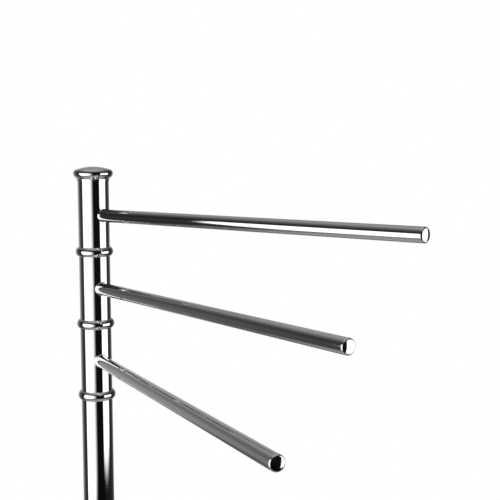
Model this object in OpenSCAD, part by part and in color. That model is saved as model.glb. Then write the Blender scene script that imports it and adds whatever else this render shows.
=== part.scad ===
// Free-standing rack with three swivelling arms, in chromed steel tube.
// Origin: centre of the underside, on the post's axis. +Z runs up the post.
// At rest the middle arm points along -Y.

/* [Stand] */
// Height from the floor to the top of the cap
stand_h = 870; // [720:5:1050]

/* [Post] */
// Outside diameter of the post and of the swivelling sleeves
post_d = 32; // [30:0.5:38]
// Wall of the post and sleeve tubes
post_wall = 1.2; // [0.8:0.1:1.6]

/* [Arms] */
// Outside diameter of the arm tubes
arm_d = 13; // [10:0.5:16]
// Wall of the arm tubes
arm_wall = 1; // [0.8:0.1:1.5]
// Distance from the post's axis to the tip of an arm
arm_reach = 400; // [250:5:480]
// How far the arm tube stands into its sleeve, past the wall
arm_root_in = 0.8; // [0.4:0.1:2]
// Height from one arm to the next
arm_pitch = 75; // [60:1:110]
// Direction of the top arm, turned from the middle one
top_arm_turn = 12.2; // [-90:0.1:90]
// Direction of the bottom arm, turned from the middle one
bottom_arm_turn = -8.7; // [-90:0.1:90]

/* [Arm plugs] */
// Length of plug that shows beyond the tube
plug_head = 2.6; // [2.3:0.1:5]
// Straight side of the plug's head before it rounds over
plug_side = 0.3; // [0.3:0.1:0.7]
// Radius of the plug's rounded edge
plug_round = 1.8; // [0.5:0.1:1.8]
// Length of plug inside the tube
plug_spigot = 10; // [6:1:20]

/* [Rings] */
// How far the crest of a bead ring stands out from the tube
ring_proud = 3.3; // [3.2:0.1:5]
// Height of a bead ring
ring_h = 9.4; // [8:0.1:9.6]
// Radius of the bead's section
ring_round = 5.4; // [5:0.1:8]
// Thickness of the web that keeps two sleeves apart
ring_web = 1.6; // [1:0.1:3]

/* [Cap] */
// How far the rim of the cap stands out from the tube
cap_overhang = 4.4; // [3.6:0.1:8]
// Height of the cap from its seam to the top
cap_h = 14.4; // [13.5:0.1:20]
// Radius of the cap's rim
cap_round = 4.4; // [3:0.1:4.8]
// Height from the centre of the rim's rounding to the top
cap_crown = 7.1; // [6:0.1:7.5]
// Depth of the socket that hides the end of the top sleeve
cap_socket = 1.2; // [0.8:0.1:2]
// Lip left round that socket
cap_lip = 0.5; // [0.3:0.1:1]
// Wall of the boss that locks on the nut
boss_wall = 2.5; // [2:0.1:3]
// Height of that boss
boss_h = 1.3; // [0.8:0.1:4]

/* [Spindle] */
// Diameter of the rod that carries the sleeves
spindle_d = 10; // [8:0.5:12]
// Length of rod screwed into the post
spindle_root = 20; // [14:1:23]
// Length of rod screwed into the cap
spindle_tip = 7.5; // [5:0.1:8.5]

/* [Bushes] */
// Length of a bush
bush_len = 12; // [8:1:15]
// Thickness of a bush's face
bush_face = 3; // [2:0.1:4]
// Wall of a bush's hub and skirt
bush_wall = 2; // [1.2:0.1:2.4]
// How far a bush stands out of its sleeve
bush_proud = 0.25; // [0.15:0.01:0.3]
// Room round the corners of the nut in the pocket of the top bush
pocket_room = 1.4; // [0.5:0.1:2]

/* [Tension stack] */
// Thickness of the washer under the disc spring
stack_washer_t = 1.2; // [0.8:0.1:1.5]
// Height of the disc spring
spring_h = 1.5; // [1:0.1:1.6]
// Thickness of the disc spring's metal
spring_t = 0.8; // [0.5:0.1:0.9]
// Height of the lock nut
nut_h = 5; // [4:0.1:5]
// Width of the lock nut across its flats
nut_af = 17; // [15:0.5:17.5]
// How far the washer stands out past the nut's flats
stack_washer_over = 1; // [0:0.1:1.8]
// How far the disc spring stands out past the nut's flats
spring_over = 0.8; // [0:0.1:1.8]

/* [Base] */
// Diameter of the base
base_d = 230; // [200:5:300]
// Height of the base at the flat that the post stands on
base_h = 21.5; // [20.5:0.5:32]
// Height at which the side of the base starts to round over
base_edge = 9; // [8:0.5:12]
// Radius of the base's rounded edge
base_round = 6; // [4:0.5:8]
// Sheet thickness of the base cover
cover_t = 1.2; // [0.8:0.1:1.6]
// Width of flat left round the collar, before the top of the base slopes down
land_margin = 3; // [1:0.5:12]
// Room between the casting and the cover
weight_gap = 1.5; // [1:0.1:3]
// Thickness of the closing plate
plate_t = 1; // [0.8:0.1:2]
// Hole in the closing plate for reaching the bolt
plate_hole_d = 44; // [38:1:60]
// Room on the radius between the washer and the recess in the casting
recess_room = 1; // [0.5:0.1:4]
// Width of the casting's boss round that recess
boss_rim = 9; // [4:1:20]

/* [Foot] */
// Distance from the edge of the base in to the foot ring
foot_inset = 5; // [2:0.5:30]
// Width of the foot ring's section
foot_w = 16; // [8:1:30]
// Height of the foot ring
foot_h = 3; // [2.8:0.1:5]
// Bevel on the foot ring's lower edges
foot_bevel = 0.8; // [0.4:0.1:1.2]

/* [Base bolt] */
// Diameter of the bolt that holds the post
bolt_d = 10; // [8:1:10]
// Width of the bolt's head across its flats
bolt_af = 17; // [15:1:19]
// Height of the bolt's head
bolt_head_h = 6.4; // [5:0.1:6.6]
// Length of bolt screwed into the post
bolt_reach = 20; // [12:1:23]
// Thickness of the flat washer
washer_t = 1.6; // [1:0.1:2]
// Thickness of the spring lock washer
lock_washer_t = 2.2; // [1.5:0.1:2.4]
// Width of the lock washer's section
lock_washer_w = 4; // [3:0.5:6]
// Room between the closing plate and the bolt's head
bolt_head_room = 0.8; // [0.2:0.1:2]
// Diameter of the flat washer
washer_d = 28; // [24:1:30]

/* [Post fittings] */
// Height of the threaded plugs in the ends of the post
insert_h = 25; // [24:1:40]
// Height of the collar at the foot of the post
collar_h = 15; // [14:1:24]
// Width of the collar's flange
collar_spread = 13; // [12:0.5:24]
// Thickness of the collar's flange
collar_flange = 2.2; // [1.6:0.1:3]
// Wall of the collar's neck
collar_wall = 2.4; // [2:0.1:3]
// Radius of the hollow sweep from flange to neck
collar_sweep = 8; // [5:0.5:9]

/* [Plate screws] */
// Number of screws that hold the closing plate
screw_count = 4; // [3:1:8]
// Diameter of the circle they lie on
screw_circle_d = 130; // [90:5:150]
// Thread diameter of a screw
screw_d = 4; // [3:0.5:5]
// Length of a screw under its head
screw_len = 9; // [7:1:10]
// Diameter of a screw's head
screw_head_d = 8; // [7:0.5:10]
// Height of a screw's head
screw_head_h = 1.8; // [1.2:0.1:2]

/* [Fits] */
// Running clearance on the radius, where a sleeve or a bush turns
run_fit = 0.06; // [0.03:0.01:0.1]
// Running clearance between flat faces
face_fit = 0.05; // [0.03:0.01:0.08]
// Room on the radius of a bolt in a plain hole
bolt_fit = 0.5; // [0.2:0.1:0.8]

/* [Hidden] */
$fn = 96;

TOP = 0;
MIDDLE = 1;
BOTTOM = 2;
chrome = "#c9ccd0";
zinc = "#9aa0a6";
nylon = "#eceae2";
iron = "#4a4b4d";
rubber = "#1d1d1f";
eps = 1; // how far a cutter runs past the face that it cuts

// Radii
post_r = post_d / 2;
post_bore_r = post_r - post_wall;
arm_r = arm_d / 2;
spindle_r = spindle_d / 2;
bush_bore_r = spindle_r + run_fit;
socket_r = post_r + run_fit;
bolt_r = bolt_d / 2;

// Heights, from the floor up
cap_seam_z = stand_h - cap_h;
cap_face_z = cap_seam_z + cap_socket;
stack_top_z = cap_face_z + ring_web / 2;
plate_z = foot_h;
weight_z = plate_z + plate_t;
bolt_head_z = weight_z + bolt_head_room;
lock_washer_z = bolt_head_z + bolt_head_h;
washer_z = lock_washer_z + lock_washer_t;
recess_top_z = washer_z + washer_t;

post_bottom_z = base_h;
post_top_z = ring_z(BOTTOM) - ring_web / 2;
collar_r = post_r + collar_spread;

// The top of the base slopes down from the land to the shoulder over the rounded edge
land_r = collar_r + land_margin;
shoulder_r = base_d / 2 - base_round;

// A bush stands off the face above it by face_fit, so a sleeve stands off by more
sleeve_gap = bush_proud + face_fit;
sleeve_len = arm_pitch - ring_web - 2 * sleeve_gap;

// The tension stack, from the cap down into the pocket of the top bush
nut_top_z = cap_face_z - boss_h;
nut_z = nut_top_z - nut_h;
spring_z = nut_z - spring_h;
stack_washer_z = spring_z - stack_washer_t;
pocket_depth = cap_face_z - stack_washer_z;
nut_corner_r = nut_af / sqrt(3);
pocket_r = nut_corner_r + pocket_room;

// Distance from the post's axis to the inner end of the arm tube
arm_root = sqrt(pow(post_bore_r, 2) - pow(arm_r, 2)) - arm_root_in;
arm_tube_end = arm_reach - plug_head;

function arm_z(level) = stack_top_z - (level + 0.5) * arm_pitch;
function ring_z(level) = stack_top_z - (level + 1) * arm_pitch;
function arm_turn(level) = -90 + [top_arm_turn, 0, bottom_arm_turn][level];

// Radius of the crown that runs smoothly into an edge of radius round, whose centre is
// inset from the axis and drop below the crown's top
function crown_radius(inset, drop, round) =
    (inset * inset + drop * drop - round * round) / (2 * (drop - round));

// Where the crown meets the rounded edge, reach times as far from the crown's centre
function crown_seam(inset, edge, top, round, reach) =
    let (crown_r = crown_radius(inset, top - edge, round), crown_z = top - crown_r,
         share = reach / (crown_r - round))
    [inset * share, crown_z + (edge - crown_z) * share];

// Half section of a crowned top that runs smoothly into a rounded edge. The rounding is
// centred on [inset, edge] and starts in direction start, which is along +X over a straight
// side. The pieces lap inside the section, and their outlines meet where they are tangent.
module crowned_section(inset, edge, top, round, start = [1, 0]) {
    crown_r = crown_radius(inset, top - edge, round);
    lap = round / 2;
    centre = [inset, edge];
    touch = crown_seam(inset, edge, top, round, crown_r);
    beyond = crown_seam(inset, edge, top, round, crown_r + eps);
    intersection() {
        translate(centre) circle(round);
        polygon([
            centre - [lap, lap], centre + start * round, centre + start * 2 * round,
            centre + [2, 2] * round, beyond, touch
        ]);
    }
    intersection() {
        translate([0, top - crown_r]) circle(crown_r, $fn = 720);
        polygon([
            [0, edge - lap], [inset, edge - lap], centre,
            beyond, [beyond.x, top + eps], [0, top + eps]
        ]);
    }
}

module tube(outer_r, inner_r, length) {
    difference() {
        cylinder(r = outer_r, h = length);
        translate([0, 0, -eps]) cylinder(r = inner_r, h = length + 2 * eps);
    }
}

// Half section of the base, from the plate up. thin takes that much off the side and the
// top, for the inside of a sheet of that thickness.
module base_section(thin) {
    translate([0, plate_z]) square([base_d / 2 - thin, base_edge - plate_z]);
    translate([shoulder_r, base_edge])
        intersection() {
            circle(base_round - thin);
            square(base_round);
        }
    polygon([
        [0, plate_z], [shoulder_r, plate_z], [shoulder_r, base_edge + base_round - thin],
        [land_r, base_h - thin], [0, base_h - thin]
    ]);
}

module screw_places() {
    for (i = [0 : screw_count - 1])
        rotate([0, 0, 360 / screw_count * (i + 0.5)])
            translate([screw_circle_d / 2, 0, 0])
                children();
}

// ---- base ----

module foot_ring() {
    outer = base_d / 2 - foot_inset;
    inner = outer - foot_w;
    color(rubber)
        rotate_extrude()
            polygon([
                [inner + foot_bevel, 0], [outer - foot_bevel, 0], [outer, foot_bevel],
                [outer, foot_h], [inner, foot_h], [inner, foot_bevel]
            ]);
}

module base_plate() {
    color(zinc)
        difference() {
            translate([0, 0, plate_z]) cylinder(r = base_d / 2 - cover_t, h = plate_t);
            translate([0, 0, plate_z - eps]) cylinder(d = plate_hole_d, h = plate_t + 2 * eps);
            screw_places()
                translate([0, 0, plate_z - eps]) cylinder(d = screw_d, h = plate_t + 2 * eps);
        }
}

module plate_screws() {
    color(zinc)
        screw_places() {
            translate([0, 0, plate_z - screw_head_h]) cylinder(d = screw_head_d, h = screw_head_h);
            translate([0, 0, plate_z]) cylinder(d = screw_d, h = screw_len);
        }
}

// Cast disc with a boss up to the cover, a bore for the bolt and a recess for its head
module base_weight() {
    recess_r = washer_d / 2 + recess_room;
    color(iron)
        difference() {
            union() {
                rotate_extrude()
                    intersection() {
                        base_section(cover_t + weight_gap);
                        translate([0, weight_z]) square([base_d, base_h]);
                    }
                translate([0, 0, weight_z])
                    cylinder(r = recess_r + boss_rim, h = base_h - cover_t - weight_z);
            }
            translate([0, 0, weight_z - eps]) cylinder(r = bolt_r + bolt_fit, h = base_h);
            translate([0, 0, weight_z - eps])
                cylinder(r = recess_r, h = recess_top_z - weight_z + eps);
            screw_places()
                translate([0, 0, weight_z - eps])
                    cylinder(d = screw_d, h = screw_len - plate_t + eps);
        }
}

// Pressed sheet cover, the same all over in thickness
module base_cover() {
    color(chrome)
        difference() {
            rotate_extrude() base_section(0);
            rotate_extrude() {
                base_section(cover_t);
                translate([0, plate_z - eps]) square([base_d / 2 - cover_t, 2 * eps]);
            }
            translate([0, 0, plate_z]) cylinder(r = bolt_r + bolt_fit, h = base_h);
        }
}

module base_bolt() {
    color(zinc) {
        translate([0, 0, bolt_head_z])
            cylinder(r = bolt_af / sqrt(3), h = bolt_head_h, $fn = 6);
        translate([0, 0, lock_washer_z])
            cylinder(r = bolt_r, h = post_bottom_z + bolt_reach - lock_washer_z);
    }
}

module base_lock_washer() {
    color(zinc)
        translate([0, 0, lock_washer_z])
            tube(bolt_r + lock_washer_w, bolt_r, lock_washer_t);
}

module base_washer() {
    color(zinc)
        translate([0, 0, washer_z])
            tube(washer_d / 2, bolt_r, washer_t);
}

// ---- post ----

module post_collar() {
    neck_r = post_r + collar_wall;
    lip = collar_flange / 2;
    bead = collar_wall / 2;
    color(chrome)
        translate([0, 0, base_h])
            rotate_extrude() {
                translate([post_r, 0]) square([collar_spread - lip, collar_flange]);
                translate([collar_r - lip, lip]) circle(lip);
                translate([post_r, 0]) square([collar_wall, collar_h - bead]);
                translate([post_r + bead, collar_h - bead]) circle(bead);
                difference() {
                    translate([neck_r, collar_flange]) square(collar_sweep);
                    translate([neck_r + collar_sweep, collar_flange + collar_sweep])
                        circle(collar_sweep);
                }
            }
}

module lower_post() {
    color(chrome)
        translate([0, 0, post_bottom_z])
            tube(post_r, post_bore_r, post_top_z - post_bottom_z);
}

module post_bottom_insert() {
    color(zinc)
        translate([0, 0, post_bottom_z])
            tube(post_bore_r, bolt_r, insert_h);
}

module post_top_insert() {
    color(zinc)
        translate([0, 0, post_top_z - insert_h])
            tube(post_bore_r, spindle_r, insert_h);
}

module spindle() {
    bottom = post_top_z - spindle_root;
    color(zinc)
        translate([0, 0, bottom])
            cylinder(r = spindle_r, h = cap_face_z + spindle_tip - bottom);
}

// Bead with a web across it, and a socket each side of the web for the ends of two tubes
module ring(level) {
    bead_x = post_r + ring_proud - ring_round;
    color(chrome)
        translate([0, 0, ring_z(level)])
            rotate_extrude() {
                intersection() {
                    translate([bead_x, 0]) circle(ring_round);
                    translate([socket_r, -ring_h / 2]) square([post_d, ring_h]);
                }
                translate([spindle_r, -ring_web / 2])
                    square([socket_r - spindle_r, ring_web]);
            }
}

// ---- tension stack and cap ----

module stack_washer() {
    color(zinc)
        translate([0, 0, stack_washer_z])
            tube(nut_af / 2 + stack_washer_over, spindle_r, stack_washer_t);
}

module disc_spring() {
    outer = nut_af / 2 + spring_over;
    rise = spring_h - spring_t;
    color(zinc)
        translate([0, 0, spring_z])
            rotate_extrude()
                polygon([
                    [spindle_r, rise], [outer, 0], [outer, spring_t], [spindle_r, spring_h]
                ]);
}

module lock_nut() {
    color(zinc)
        translate([0, 0, nut_z])
            difference() {
                cylinder(r = nut_corner_r, h = nut_h, $fn = 6);
                translate([0, 0, -eps]) cylinder(r = spindle_r, h = nut_h + 2 * eps);
            }
}

// Turned cap: a crowned top, a rounded rim and a 45 degree flare down to the seam.
// A socket hides the end of the top sleeve, and a boss below it locks on the nut.
module cap() {
    rim = [post_r + cap_overhang - cap_round, stand_h - cap_crown];
    down_and_out = [cos(45), -sin(45)];
    flare = rim + cap_round * down_and_out;
    neck_r = socket_r + cap_lip;
    color(chrome)
        difference() {
            union() {
                rotate_extrude() {
                    crowned_section(rim.x, rim.y, stand_h, cap_round, down_and_out);
                    polygon([
                        [0, cap_seam_z], [neck_r, cap_seam_z],
                        [neck_r, flare.y - flare.x + neck_r], flare, rim, [0, rim.y]
                    ]);
                }
                translate([0, 0, nut_top_z])
                    cylinder(r = spindle_r + boss_wall, h = cap_face_z - nut_top_z);
            }
            translate([0, 0, cap_seam_z - eps])
                tube(socket_r, spindle_r + boss_wall, cap_socket + eps);
            translate([0, 0, nut_top_z - eps])
                cylinder(r = spindle_r, h = cap_face_z + spindle_tip - nut_top_z + eps);
        }
}

// ---- swivelling arms, one set for each level ----

module on_arm(level) {
    translate([0, 0, arm_z(level)])
        rotate([0, 0, arm_turn(level)])
            rotate([0, 90, 0])
                children();
}

module sleeve(level) {
    color(chrome)
        difference() {
            translate([0, 0, arm_z(level) - sleeve_len / 2])
                tube(post_r, post_bore_r, sleeve_len);
            on_arm(level) cylinder(r = arm_r, h = post_d);
        }
}

module arm(level) {
    color(chrome)
        on_arm(level)
            translate([0, 0, arm_root])
                tube(arm_r, arm_r - arm_wall, arm_tube_end - arm_root);
}

module arm_plug(level) {
    color(chrome)
        on_arm(level)
            translate([0, 0, arm_tube_end])
                rotate_extrude() {
                    crowned_section(arm_r - plug_round, plug_side, plug_head, plug_round);
                    square([arm_r, plug_side]);
                    translate([0, -plug_spigot])
                        square([arm_r - arm_wall, plug_spigot + plug_side]);
                }
}

// Moulded bush, drawn with its face up at z = 0: face, hub on the spindle, skirt in the sleeve
module bush() {
    color(nylon)
        rotate_extrude() {
            translate([bush_bore_r, -bush_face])
                square([post_bore_r - bush_bore_r, bush_face]);
            translate([bush_bore_r, -bush_len]) square([bush_wall, bush_len]);
            translate([post_bore_r - bush_wall, -bush_len]) square([bush_wall, bush_len]);
        }
}

// The top bush is a cup, deep enough for the tension stack, with its hub below the floor
module cup_bush() {
    color(nylon)
        rotate_extrude() {
            translate([pocket_r, -pocket_depth - bush_face])
                square([post_bore_r - pocket_r, pocket_depth + bush_face]);
            translate([bush_bore_r, -pocket_depth - bush_face])
                square([post_bore_r - bush_bore_r, bush_face]);
            translate([bush_bore_r, -pocket_depth - bush_face - bush_wall])
                square([bush_wall, bush_face + bush_wall]);
        }
}

module upper_bush(level) {
    translate([0, 0, arm_z(level) + sleeve_len / 2 + bush_proud])
        if (level == TOP) cup_bush();
        else bush();
}

module lower_bush(level) {
    translate([0, 0, arm_z(level) - sleeve_len / 2 - bush_proud])
        mirror([0, 0, 1]) bush();
}

foot_ring();
base_plate();
plate_screws();
base_weight();
base_cover();
base_bolt();
base_lock_washer();
base_washer();
post_collar();
lower_post();
post_bottom_insert();
post_top_insert();
spindle();
ring(BOTTOM);  // ring_bottom
ring(MIDDLE);  // ring_middle
ring(TOP);  // ring_top
stack_washer();
disc_spring();
lock_nut();
cap();
sleeve(TOP);  // sleeve_top
arm(TOP);  // arm_top
arm_plug(TOP);  // arm_plug_top
upper_bush(TOP);  // upper_bush_top
lower_bush(TOP);  // lower_bush_top
sleeve(MIDDLE);  // sleeve_middle
arm(MIDDLE);  // arm_middle
arm_plug(MIDDLE);  // arm_plug_middle
upper_bush(MIDDLE);  // upper_bush_middle
lower_bush(MIDDLE);  // lower_bush_middle
sleeve(BOTTOM);  // sleeve_bottom
arm(BOTTOM);  // arm_bottom
arm_plug(BOTTOM);  // arm_plug_bottom
upper_bush(BOTTOM);  // upper_bush_bottom
lower_bush(BOTTOM);  // lower_bush_bottom
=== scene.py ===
"""Looks of a free-standing rack: a weighted round base, a chromed post and three swivelling arms."""

import math

import bmesh
import bpy
from mathutils import Matrix, Vector


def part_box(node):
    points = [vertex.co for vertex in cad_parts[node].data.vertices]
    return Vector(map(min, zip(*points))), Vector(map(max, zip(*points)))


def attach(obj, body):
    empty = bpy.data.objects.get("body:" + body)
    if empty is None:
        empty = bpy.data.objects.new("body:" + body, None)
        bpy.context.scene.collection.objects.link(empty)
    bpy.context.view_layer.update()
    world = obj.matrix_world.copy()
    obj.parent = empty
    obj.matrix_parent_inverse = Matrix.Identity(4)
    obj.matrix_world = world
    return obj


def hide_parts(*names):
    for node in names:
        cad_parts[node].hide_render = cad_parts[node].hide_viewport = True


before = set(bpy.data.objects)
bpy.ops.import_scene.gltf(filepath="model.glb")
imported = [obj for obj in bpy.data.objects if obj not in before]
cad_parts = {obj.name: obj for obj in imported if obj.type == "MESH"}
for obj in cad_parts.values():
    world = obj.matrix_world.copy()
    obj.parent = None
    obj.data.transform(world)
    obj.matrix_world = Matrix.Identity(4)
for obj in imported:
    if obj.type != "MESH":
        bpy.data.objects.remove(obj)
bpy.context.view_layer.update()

MM = 0.001

# ---- sizes, in millimetres ----
POST_R, POST_WALL = 16.0, 1.2
BORE_R = POST_R - POST_WALL
ARM_R, ARM_WALL = 6.5, 1.0
ARM_AIM = {"top": -77.8, "middle": -90.0, "bottom": -98.7}  # degrees round the post from +X
LEVELS = ("top", "middle", "bottom")
EDGE_BREAK = 0.2          # deburred and polished tube edges
RUN_FIT = 0.06            # running clearance on the radius
SOCKET_R = POST_R + RUN_FIT
SPINDLE_R, BOLT_R = 5.0, 5.0
THREAD_PITCH = 1.5        # coarse M10 thread of the spindle and the base bolt
THREAD_DEPTH = 0.75
ARM_ROOT, ARM_END, ARM_TIP = 12.494, 397.4, 400.0
PLUG_SIDE, PLUG_ROUND, PLUG_STEM = 0.3, 1.8, 10.0
BRAZE = 0.7               # leg of the braze fillet round the root of an arm
RING_H, RING_PROUD, RING_ROUND, RING_WEB = 9.4, 3.3, 5.4, 1.6
CAP_H, CAP_SOCKET, CAP_ROUND, CAP_CROWN, CAP_LIP = 14.4, 1.2, 4.4, 7.1, 0.5
BOSS_WALL, BOSS_H, BOSS_BORE = 2.5, 1.3, 7.5
BUSH_FACE, BUSH_WALL, BUSH_LEN = 3.0, 2.0, 12.0
BUSH_BORE = SPINDLE_R + RUN_FIT
BUSH_HUB = BUSH_BORE + BUSH_WALL
NUT_FLATS, NUT_ROOM = 17.0, 1.4   # across the flats, and the room round the corners
COVER_T, BEND, BOLT_HOLE_R = 1.2, 6.0, 5.5
LAND_R = 32.0             # flat round the hole of the base, under the post and its collar
PLATE_HOLE = 22.0
FOOT_W = 16.0
POCKET_R, POCKET_TOP, CAST_SEAT_R = 15.0, 15.0, 24.0  # of the casting, for the bolt and the cover
SCREW_R, SCREW_HEAD_R, SCREW_CIRCLE = 2.0, 4.0, 65.0
SCREW_PITCH, SCREW_RIDGE = 1.2, 0.4
RECESS_SPAN, RECESS_WIDTH, RECESS_DEPTH = 4.4, 0.9, 1.2


def low(node):
    """The lowest corner of a node's box, in millimetres."""
    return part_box(node)[0] / MM


def high(node):
    """The highest corner of a node's box, in millimetres."""
    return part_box(node)[1] / MM


# ---- shaping ----

def line(a, b):
    """A straight stretch of a half section, with the way its surface faces."""
    run, rise = b[0] - a[0], b[1] - a[1]
    size = math.hypot(run, rise)
    facing = (rise / size, -run / size)
    return [(a, facing), (b, facing)]


def arc(centre, radius, start, end, step=5.0):
    """A round stretch, in degrees: it bulges outwards where end is past start, else it is hollow."""
    count = max(2, math.ceil(abs(end - start) / step))
    sign = 1 if end > start else -1
    points = []
    for i in range(count + 1):
        a = math.radians(start + (end - start) * i / count)
        c, s = math.cos(a), math.sin(a)
        points.append(((centre[0] + radius * c, centre[1] + radius * s), (sign * c, sign * s)))
    return points


def outline(corners, closed=True):
    """Straight stretches between corners (r, z, rounding), each corner rounded by its own radius."""
    count = len(corners)
    ends = []
    for i, (x, y, radius) in enumerate(corners):
        if radius == 0 or (not closed and i in (0, count - 1)):
            ends.append(((x, y), (x, y), None))
            continue
        before, after = corners[i - 1], corners[(i + 1) % count]
        a = Vector((before[0] - x, before[1] - y)).normalized()
        b = Vector((after[0] - x, after[1] - y)).normalized()
        half = a.angle(b) / 2
        reach = radius / math.tan(half)
        centre = Vector((x, y)) + (a + b).normalized() * (radius / math.sin(half))
        first, last = Vector((x, y)) + a * reach, Vector((x, y)) + b * reach
        turn = -a.x * b.y + a.y * b.x
        start = math.degrees(math.atan2(first.y - centre.y, first.x - centre.x))
        sweep = math.degrees(math.pi - 2 * half) * (1 if turn > 0 else -1)
        ends.append((tuple(first), tuple(last), (tuple(centre), radius, start, start + sweep)))
    strips = []
    for i in range(count):
        if ends[i][2]:
            strips.append(arc(*ends[i][2], step=15))
        if i + 1 < count or closed:
            a, b = ends[i][1], ends[(i + 1) % count][0]
            if math.dist(a, b) > 1e-6:
                strips.append(line(a, b))
    return strips


def new_piece(name, verts, faces):
    """A mesh of these points and faces, in the scene."""
    mesh = bpy.data.meshes.new(name)
    mesh.from_pydata(verts, [], faces)
    piece = bpy.data.objects.new(name, mesh)
    bpy.context.scene.collection.objects.link(piece)
    return piece


def faced(piece, sharp_deg, weld=0.0, ease=0.0):
    """Welds points closer than weld, turns every face outwards, eases the edges and shades the piece
    smooth, but for the edges sharper than sharp_deg."""
    shell = bmesh.new()
    shell.from_mesh(piece.data)
    if weld:
        bmesh.ops.remove_doubles(shell, verts=shell.verts, dist=weld)
    bmesh.ops.recalc_face_normals(shell, faces=shell.faces)
    if ease:
        edges = [e for e in shell.edges if len(e.link_faces) == 2 and e.calc_face_angle(0) > 0.7]
        bmesh.ops.bevel(shell, geom=edges, offset=ease, segments=2, affect="EDGES", clamp_overlap=True)
    shell.to_mesh(piece.data)
    shell.free()
    piece.data.shade_smooth()
    piece.data.set_sharp_from_angle(angle=math.radians(sharp_deg))
    return piece


def turned(name, strips, sides=256, place=None):
    """A piece turned about the Z axis from its half section. Its surface faces exactly as the section
    says, because chrome shows every facet."""
    rows, index = [], {}
    verts, faces, facings = [], [], []

    def row(point):
        key = (round(point[0], 5), round(point[1], 5))
        if key not in index:
            index[key] = len(rows)
            start = len(verts)
            if key[0] < 1e-4:
                verts.append((0, 0, point[1] * MM))
                rows.append([start] * sides)
            else:
                for k in range(sides):
                    a = 2 * math.pi * k / sides
                    r = point[0] * MM
                    verts.append((r * math.cos(a), r * math.sin(a), point[1] * MM))
                rows.append(list(range(start, start + sides)))
        return rows[index[key]]

    for strip in strips:
        for (p, fp), (q, fq) in zip(strip, strip[1:]):
            lower, upper = row(p), row(q)
            if lower is upper:
                continue
            for k in range(sides):
                n = (k + 1) % sides
                corners = [(lower[k], k, fp), (lower[n], k + 1, fp),
                           (upper[n], k + 1, fq), (upper[k], k, fq)]
                kept = []
                for corner in corners:
                    if corner[0] not in [c[0] for c in kept]:
                        kept.append(corner)
                if len(kept) < 3:
                    continue
                faces.append([c[0] for c in kept])
                for _, turn, facing in kept:
                    a = 2 * math.pi * turn / sides
                    facings.append((facing[0] * math.cos(a), facing[0] * math.sin(a), facing[1]))
    piece = new_piece(name, verts, faces)
    mesh = piece.data
    mesh.shade_smooth()
    mesh.normals_split_custom_set(facings)
    if place is not None:
        mesh.transform(place)
    mesh.update()
    return piece


def dress(piece, finish, body, nodes):
    """Gives a finished piece its finish and says what it rides on and stands for."""
    piece.data.materials.clear()
    piece.data.materials.append(finish)
    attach(piece, body)
    if nodes:
        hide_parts(*nodes)
    return piece


def from_section(name, strips, finish, body, nodes, sides=256, place=None):
    """A turned piece, dressed."""
    return dress(turned(name, strips, sides, place), finish, body, nodes)


# ---- finishes ----

def linear(colour):
    """An sRGB hex colour as linear RGBA."""
    parts = [int(colour[i:i + 2], 16) / 255 for i in (1, 3, 5)]
    return tuple(p / 12.92 if p <= 0.04045 else ((p + 0.055) / 1.055) ** 2.4 for p in parts) + (1.0,)


def add(tree, kind, feeds=None, stops=(), **settings):
    """One node, with its settings, its values and its links. stops are places and greys on its ramp."""
    made = tree.nodes.new(kind)
    for key, value in settings.items():
        setattr(made, key, value)
    for key, value in (feeds or {}).items():
        if isinstance(value, bpy.types.NodeSocket):
            tree.links.new(value, made.inputs[key])
        else:
            made.inputs[key].default_value = value
    while stops and len(made.color_ramp.elements) < len(stops):
        made.color_ramp.elements.new(0.5)
    for k, (position, grey) in enumerate(stops):
        made.color_ramp.elements[k].position = position
        made.color_ramp.elements[k].color = (grey, grey, grey, 1)
    return made


def new_finish(name):
    """An empty material, and its tree."""
    finish = bpy.data.materials.new(name)
    finish.use_nodes = True
    finish.node_tree.nodes.clear()
    return finish, finish.node_tree


# Bright nickel-chrome plate, buffed before plating. It gives the eye a mirror, very slightly cooler
# and warmer over patches of 45 mm, hazier along the buffing lines and in 30 mm patches where hands have
# dulled it. The lines are drawn line_mm apart, coarser than the real ones, which are too fine to show.
def chrome(name, cool, warm, wave_mm, wave_um, line_mm, line_axis):
    finish, tree = new_finish(name)
    place = add(tree, "ShaderNodeTexCoord").outputs["Object"]
    tint = add(tree, "ShaderNodeTexNoise", {"Vector": place, "Scale": 1 / (45 * MM), "Detail": 1.0})
    colour = add(tree, "ShaderNodeMix", {0: tint.outputs["Fac"], 6: linear(cool), 7: linear(warm)},
                 data_type="RGBA")
    stretch = [1.0, 1.0, 1.0]
    stretch[line_axis] = 0.03
    along = add(tree, "ShaderNodeMapping", {"Vector": place, "Scale": stretch})
    lines = add(tree, "ShaderNodeTexNoise",
                {"Vector": along.outputs["Vector"], "Scale": 1 / (line_mm * MM), "Detail": 2.0})
    hands = add(tree, "ShaderNodeTexNoise", {"Vector": place, "Scale": 1 / (30 * MM), "Detail": 3.0})
    haze = add(tree, "ShaderNodeMath", {0: lines.outputs["Fac"], 1: hands.outputs["Fac"]},
               operation="ADD")
    gloss = add(tree, "ShaderNodeMapRange",
                {"Value": haze.outputs[0], "From Min": 0.6, "From Max": 1.4,
                 "To Min": 0.04, "To Max": 0.075})
    wave = add(tree, "ShaderNodeTexNoise", {"Vector": place, "Scale": 1 / (wave_mm * MM), "Detail": 0.0})
    bump = add(tree, "ShaderNodeBump",
               {"Height": wave.outputs["Fac"], "Strength": 1.0, "Distance": wave_um * 1e-6})
    shader = add(tree, "ShaderNodeBsdfPrincipled",
                 {"Base Color": colour.outputs[2], "Roughness": gloss.outputs["Result"],
                  "Metallic": 1.0, "Normal": bump.outputs["Normal"]})
    add(tree, "ShaderNodeOutputMaterial", {"Surface": shader.outputs["BSDF"]})
    return finish


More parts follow.
